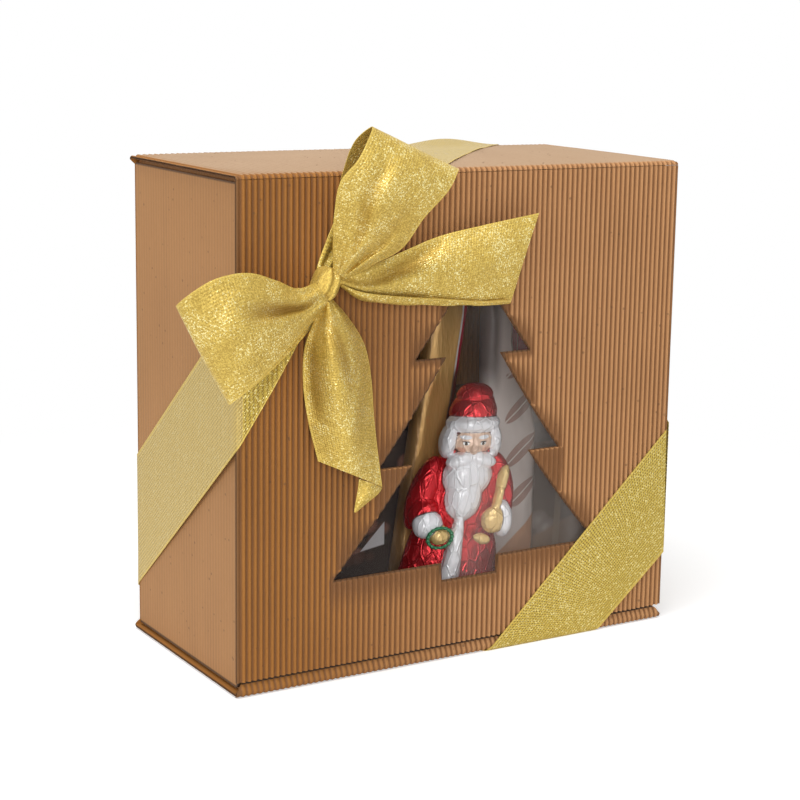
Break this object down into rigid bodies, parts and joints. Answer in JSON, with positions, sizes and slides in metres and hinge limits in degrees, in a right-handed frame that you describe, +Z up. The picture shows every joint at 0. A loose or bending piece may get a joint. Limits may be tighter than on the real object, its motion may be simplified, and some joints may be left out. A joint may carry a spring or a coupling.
{
  "type": "slide-out gift box with window",
  "caption": "Fluted kraft gift box: a sleeve with a tree-shaped window and a gold bow round a slide-out tray of wrapped sweets.",
  "frame": {"origin": "middle of the sleeve's underside, on the surface that the box stands on", "axes": "+X to the right as the window is seen, along the tray's slide; -Y towards the window's front; +Z up"},
  "size_m": [0.2964, 0.1648, 0.2758],
  "materials": {
    "kraft_flutes": "matte open-flute kraft board, ribs outside",
    "kraft_tray": "matte kraft board with its smooth liner outside",
    "clear_film": "thin clear glossy film",
    "gold_ribbon": "sheer gold metallic mesh with woven selvedges",
    "red_foil": "glossy printed foil wrap, red with white and beard",
    "gold_wrapper": "glossy gold-brown film wrapper",
    "cream_wrapper": "satin cream film wrapper",
    "brown_carton": "glossy dark brown printed carton",
    "dark_carton": "glossy near-black printed carton",
    "red_carton": "glossy dark red printed carton"
  },
  "bodies": {
    "sleeve": {"sleeve_front_panel": "kraft_flutes", "sleeve_top_panel": "kraft_flutes", "sleeve_back_panel": "kraft_flutes", "sleeve_bottom_panel": "kraft_flutes", "sleeve_closing_flap": "kraft_flutes", "window_film": "clear_film", "ribbon_front_upper_band": "gold_ribbon", "ribbon_front_lower_band": "gold_ribbon", "ribbon_back_lower_band": "gold_ribbon", "ribbon_back_upper_band": "gold_ribbon", "ribbon_top_band": "gold_ribbon", "ribbon_bottom_band": "gold_ribbon", "ribbon_left_band": "gold_ribbon", "bow_knot": "gold_ribbon", "bow_upper_loop": "gold_ribbon", "bow_left_loop": "gold_ribbon", "bow_right_tail": "gold_ribbon", "bow_lower_tail": "gold_ribbon"},
    "tray": {"tray_base": "kraft_tray", "tray_left_wall": "kraft_tray", "tray_right_wall": "kraft_tray", "tray_top_wall": "kraft_tray", "tray_bottom_wall": "kraft_tray", "tray_corner_tabs": "kraft_tray", "ribbon_right_band": "gold_ribbon", "foil_figure": "red_foil", "gold_wrapped_bar": "gold_wrapper", "cream_wrapped_bar": "cream_wrapper", "dark_praline_carton": "brown_carton", "dark_chocolate_carton": "dark_carton", "red_carton": "red_carton"}
  },
  "joints": [
    {"name": "tray_slide", "type": "slide", "parent": "sleeve", "child": "tray", "axis": [1, 0, 0], "range_m": [0, 0.25]}
  ]
}
